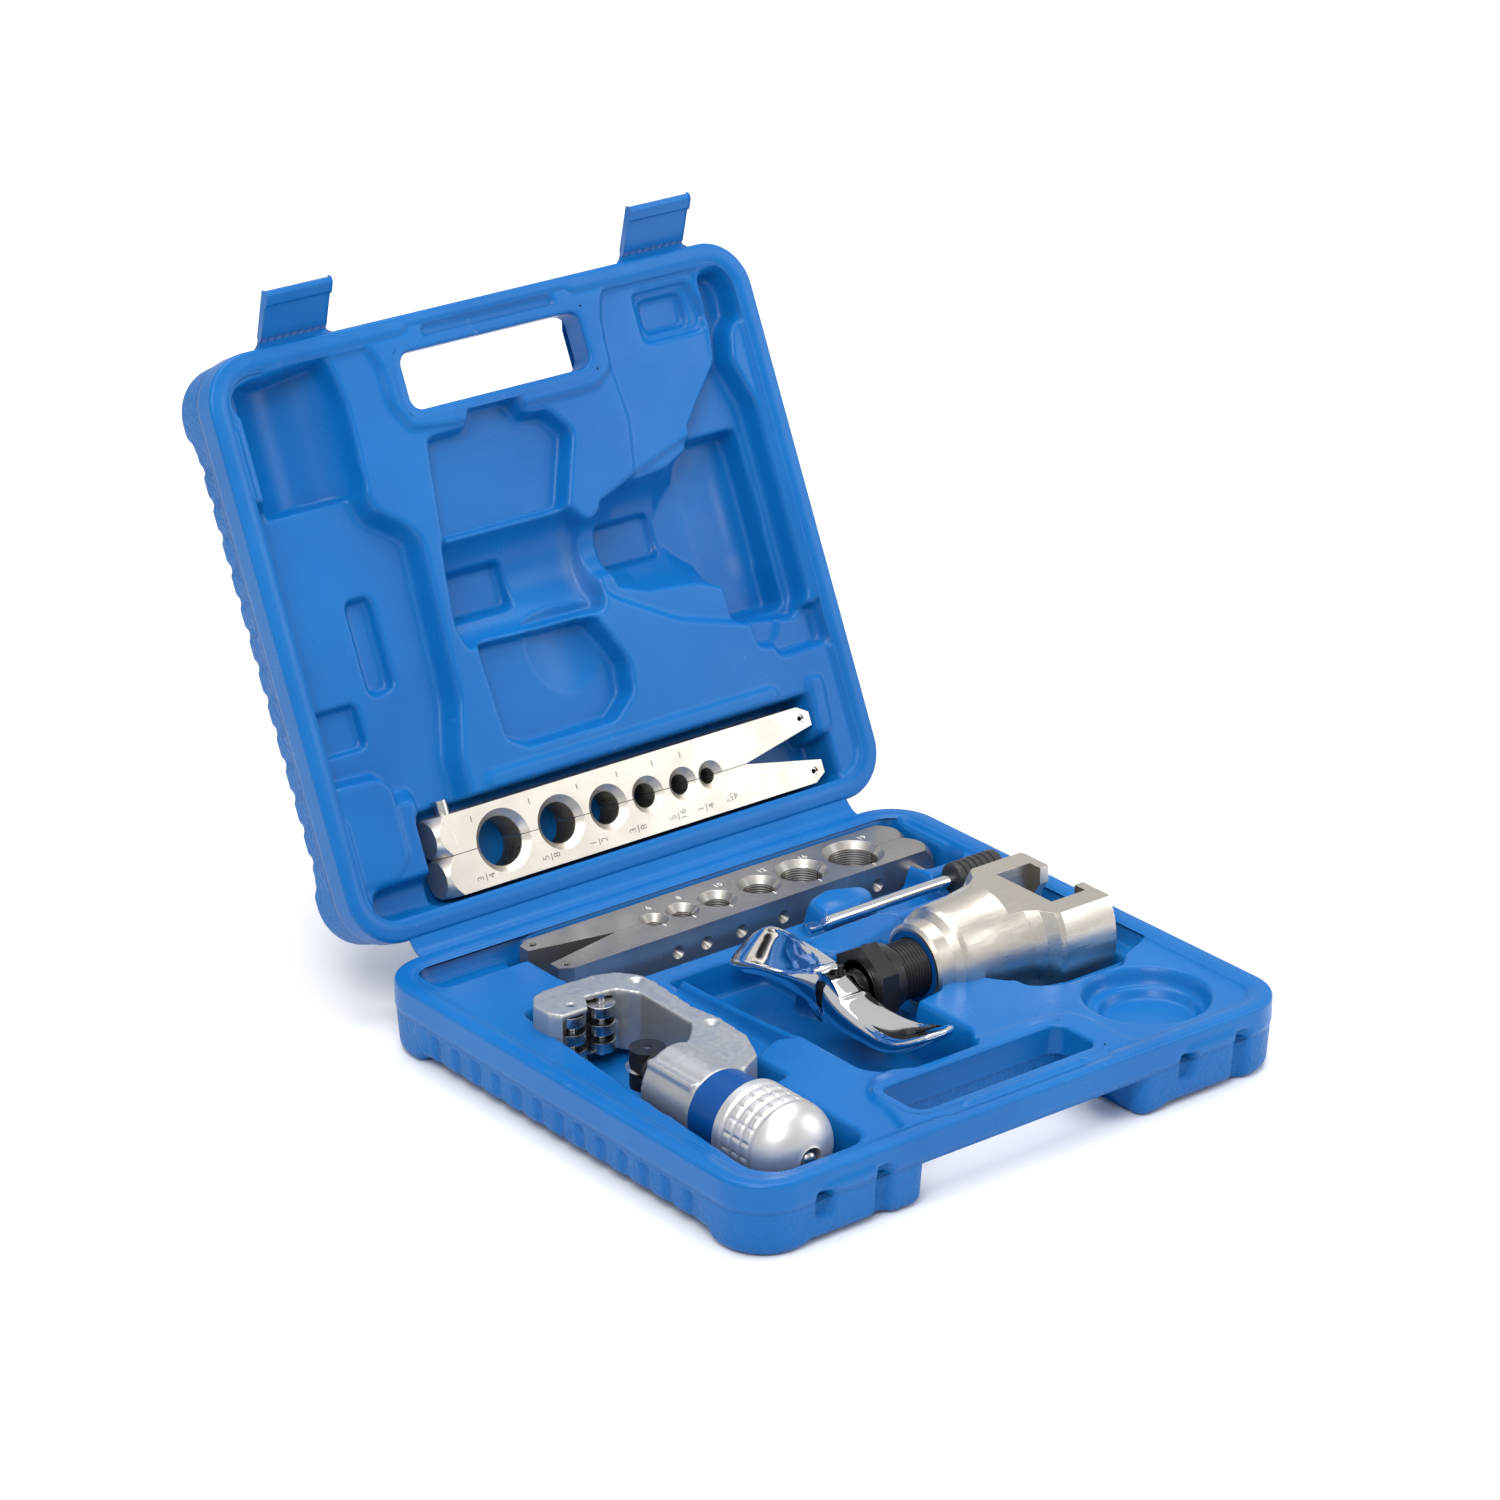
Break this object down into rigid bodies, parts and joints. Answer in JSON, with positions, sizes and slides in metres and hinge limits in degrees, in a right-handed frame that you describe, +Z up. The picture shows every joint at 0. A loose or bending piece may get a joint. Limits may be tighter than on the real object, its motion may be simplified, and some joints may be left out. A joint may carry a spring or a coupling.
{
  "type": "flaring tool",
  "caption": "Tube flaring kit in a hinged carrying case: split inch and metric die bars, screw-fed flaring yoke, roller tube cutter and deburrer.",
  "frame": {"origin": "centre of the base's bottom face, with the case standing open on its base", "axes": "+X to the right along the hinge, seen from the grip side; +Y from the grip to the hinge; +Z up"},
  "size_m": [0.25, 0.3509, 0.256],
  "materials": {
    "case_blue": "moulded blue polypropylene, glossy inside and leather-grained outside",
    "satin_nickel": "satin nickel plated steel",
    "chrome": "bright chrome",
    "cast_silver": "silver finished casting",
    "steel": "bright turned steel",
    "black_oxide": "black oxide",
    "bush_blue": "blue moulded plastic",
    "grip_black": "black moulded plastic"
  },
  "bodies": {
    "base": {"base_shell": "case_blue", "base_tray": "case_blue", "hinge_web": "case_blue"},
    "lid": {"lid_shell": "case_blue", "lid_tray": "case_blue"},
    "latch_left": {"latch_left": "case_blue"},
    "latch_right": {"latch_right": "case_blue"},
    "inch_bar": {"inch_bar_fixed_jaw": "satin_nickel", "inch_bar_guide_pin": "steel", "inch_bar_fixed_tail_pin": "steel"},
    "inch_sliding_jaw": {"inch_bar_sliding_jaw": "satin_nickel", "inch_bar_sliding_tail_pin": "steel"},
    "metric_bar": {"metric_bar_fixed_jaw": "satin_nickel", "metric_bar_guide_pin": "steel", "metric_bar_fixed_tail_pin": "steel"},
    "metric_sliding_jaw": {"metric_bar_sliding_jaw": "satin_nickel", "metric_bar_sliding_tail_pin": "steel"},
    "yoke": {"yoke_body": "satin_nickel", "yoke_bush": "bush_blue"},
    "spindle": {"clutch_washer": "steel"},
    "screw": {"feed_screw": "black_oxide", "lock_nut": "black_oxide", "cone_race": "steel", "cone_balls": "chrome"},
    "cone": {"flaring_cone": "satin_nickel"},
    "handle": {"screw_handle": "chrome", "handle_pin": "black_oxide"},
    "cutter": {"cutter_frame": "cast_silver", "cutter_sleeve": "bush_blue", "roller_pins": "steel"},
    "outer_rollers": {"outer_rollers": "steel"},
    "inner_rollers": {"inner_rollers": "steel"},
    "carriage": {"wheel_carriage": "black_oxide", "wheel_pin": "steel"},
    "cutting_wheel": {"cutting_wheel": "steel"},
    "knob": {"cutter_knob": "cast_silver", "cutter_screw": "steel", "knob_screw": "steel"},
    "deburrer": {"deburrer_blade": "chrome", "deburrer_grip": "grip_black"}
  },
  "joints": [
    {"name": "lid_hinge", "type": "hinge", "parent": "base", "child": "lid", "pos_m": [0, 0.116, 0.029], "axis": [-1, 0, 0], "range_deg": [-115, 0], "deforming": ["hinge_web"]},
    {"name": "latch_left_fold", "type": "hinge", "parent": "lid", "child": "latch_left", "pos_m": [-0.0805, 0.21827, 0.23531], "axis": [-1, 0, 0], "range_deg": [-52, 60], "stiffness_Nm_per_rad": 0.02},
    {"name": "latch_right_fold", "type": "hinge", "parent": "lid", "child": "latch_right", "pos_m": [0.086, 0.21827, 0.23531], "axis": [-1, 0, 0], "range_deg": [-52, 60], "stiffness_Nm_per_rad": 0.02},
    {"name": "inch_bar_lift", "type": "slide", "parent": "lid", "child": "inch_bar", "axis": [0, -0.9063, 0.4226], "range_m": [0, 0.022]},
    {"name": "inch_jaw_part", "type": "slide", "parent": "inch_bar", "child": "inch_sliding_jaw", "axis": [0, 0.4226, 0.9063], "range_m": [0, 0.001]},
    {"name": "metric_bar_lift", "type": "slide", "parent": "base", "child": "metric_bar", "axis": [0, 0, 1], "range_m": [0, 0.024]},
    {"name": "metric_jaw_part", "type": "slide", "parent": "metric_bar", "child": "metric_sliding_jaw", "axis": [0, -1, 0], "range_m": [0, 0.003]},
    {"name": "yoke_lift", "type": "slide", "parent": "base", "child": "yoke", "axis": [0, 0, 1], "range_m": [0, 0.04]},
    {"name": "screw_feed", "type": "slide", "parent": "yoke", "child": "spindle", "axis": [1, 0, 0], "range_m": [0, 0.0105]},
    {"name": "screw_turn", "type": "hinge", "parent": "spindle", "child": "screw", "pos_m": [0, -0.0085, 0.029], "axis": [1, 0, 0], "range_deg": [0, 2522]},
    {"name": "cone_spin", "type": "hinge", "parent": "screw", "child": "cone", "pos_m": [0, -0.0077, 0.029], "axis": [1, 0, 0], "continuous": true},
    {"name": "handle_clutch", "type": "hinge", "parent": "spindle", "child": "handle", "pos_m": [0, -0.0085, 0.029], "axis": [1, 0, 0], "range_deg": [-3, 24]},
    {"name": "cutter_lift", "type": "slide", "parent": "base", "child": "cutter", "axis": [0, 0, 1], "range_m": [0, 0.04]},
    {"name": "outer_roller_spin", "type": "hinge", "parent": "cutter", "child": "outer_rollers", "pos_m": [-0.0941, 0.032, 0.024], "axis": [0, 0, 1], "continuous": true},
    {"name": "inner_roller_spin", "type": "hinge", "parent": "cutter", "child": "inner_rollers", "pos_m": [-0.0809, 0.032, 0.024], "axis": [0, 0, 1], "continuous": true},
    {"name": "wheel_feed", "type": "slide", "parent": "cutter", "child": "carriage", "axis": [0, 1, 0], "range_m": [0, 0.012]},
    {"name": "wheel_spin", "type": "hinge", "parent": "carriage", "child": "cutting_wheel", "pos_m": [-0.0875, -0.0045, 0.024], "axis": [0, 0, 1], "continuous": true},
    {"name": "knob_turn", "type": "hinge", "parent": "carriage", "child": "knob", "pos_m": [-0.0875, 0, 0.024], "axis": [0, 1, 0], "range_deg": [0, 2162]},
    {"name": "deburrer_lift", "type": "slide", "parent": "base", "child": "deburrer", "axis": [0, 0, 1], "range_m": [0, 0.03]}
  ],
  "couplings": [
    {"joint": "screw_turn", "follows": "screw_feed", "rad_per_m": 4188.8},
    {"joint": "knob_turn", "follows": "wheel_feed", "rad_per_m": 3141.6}
  ]
}
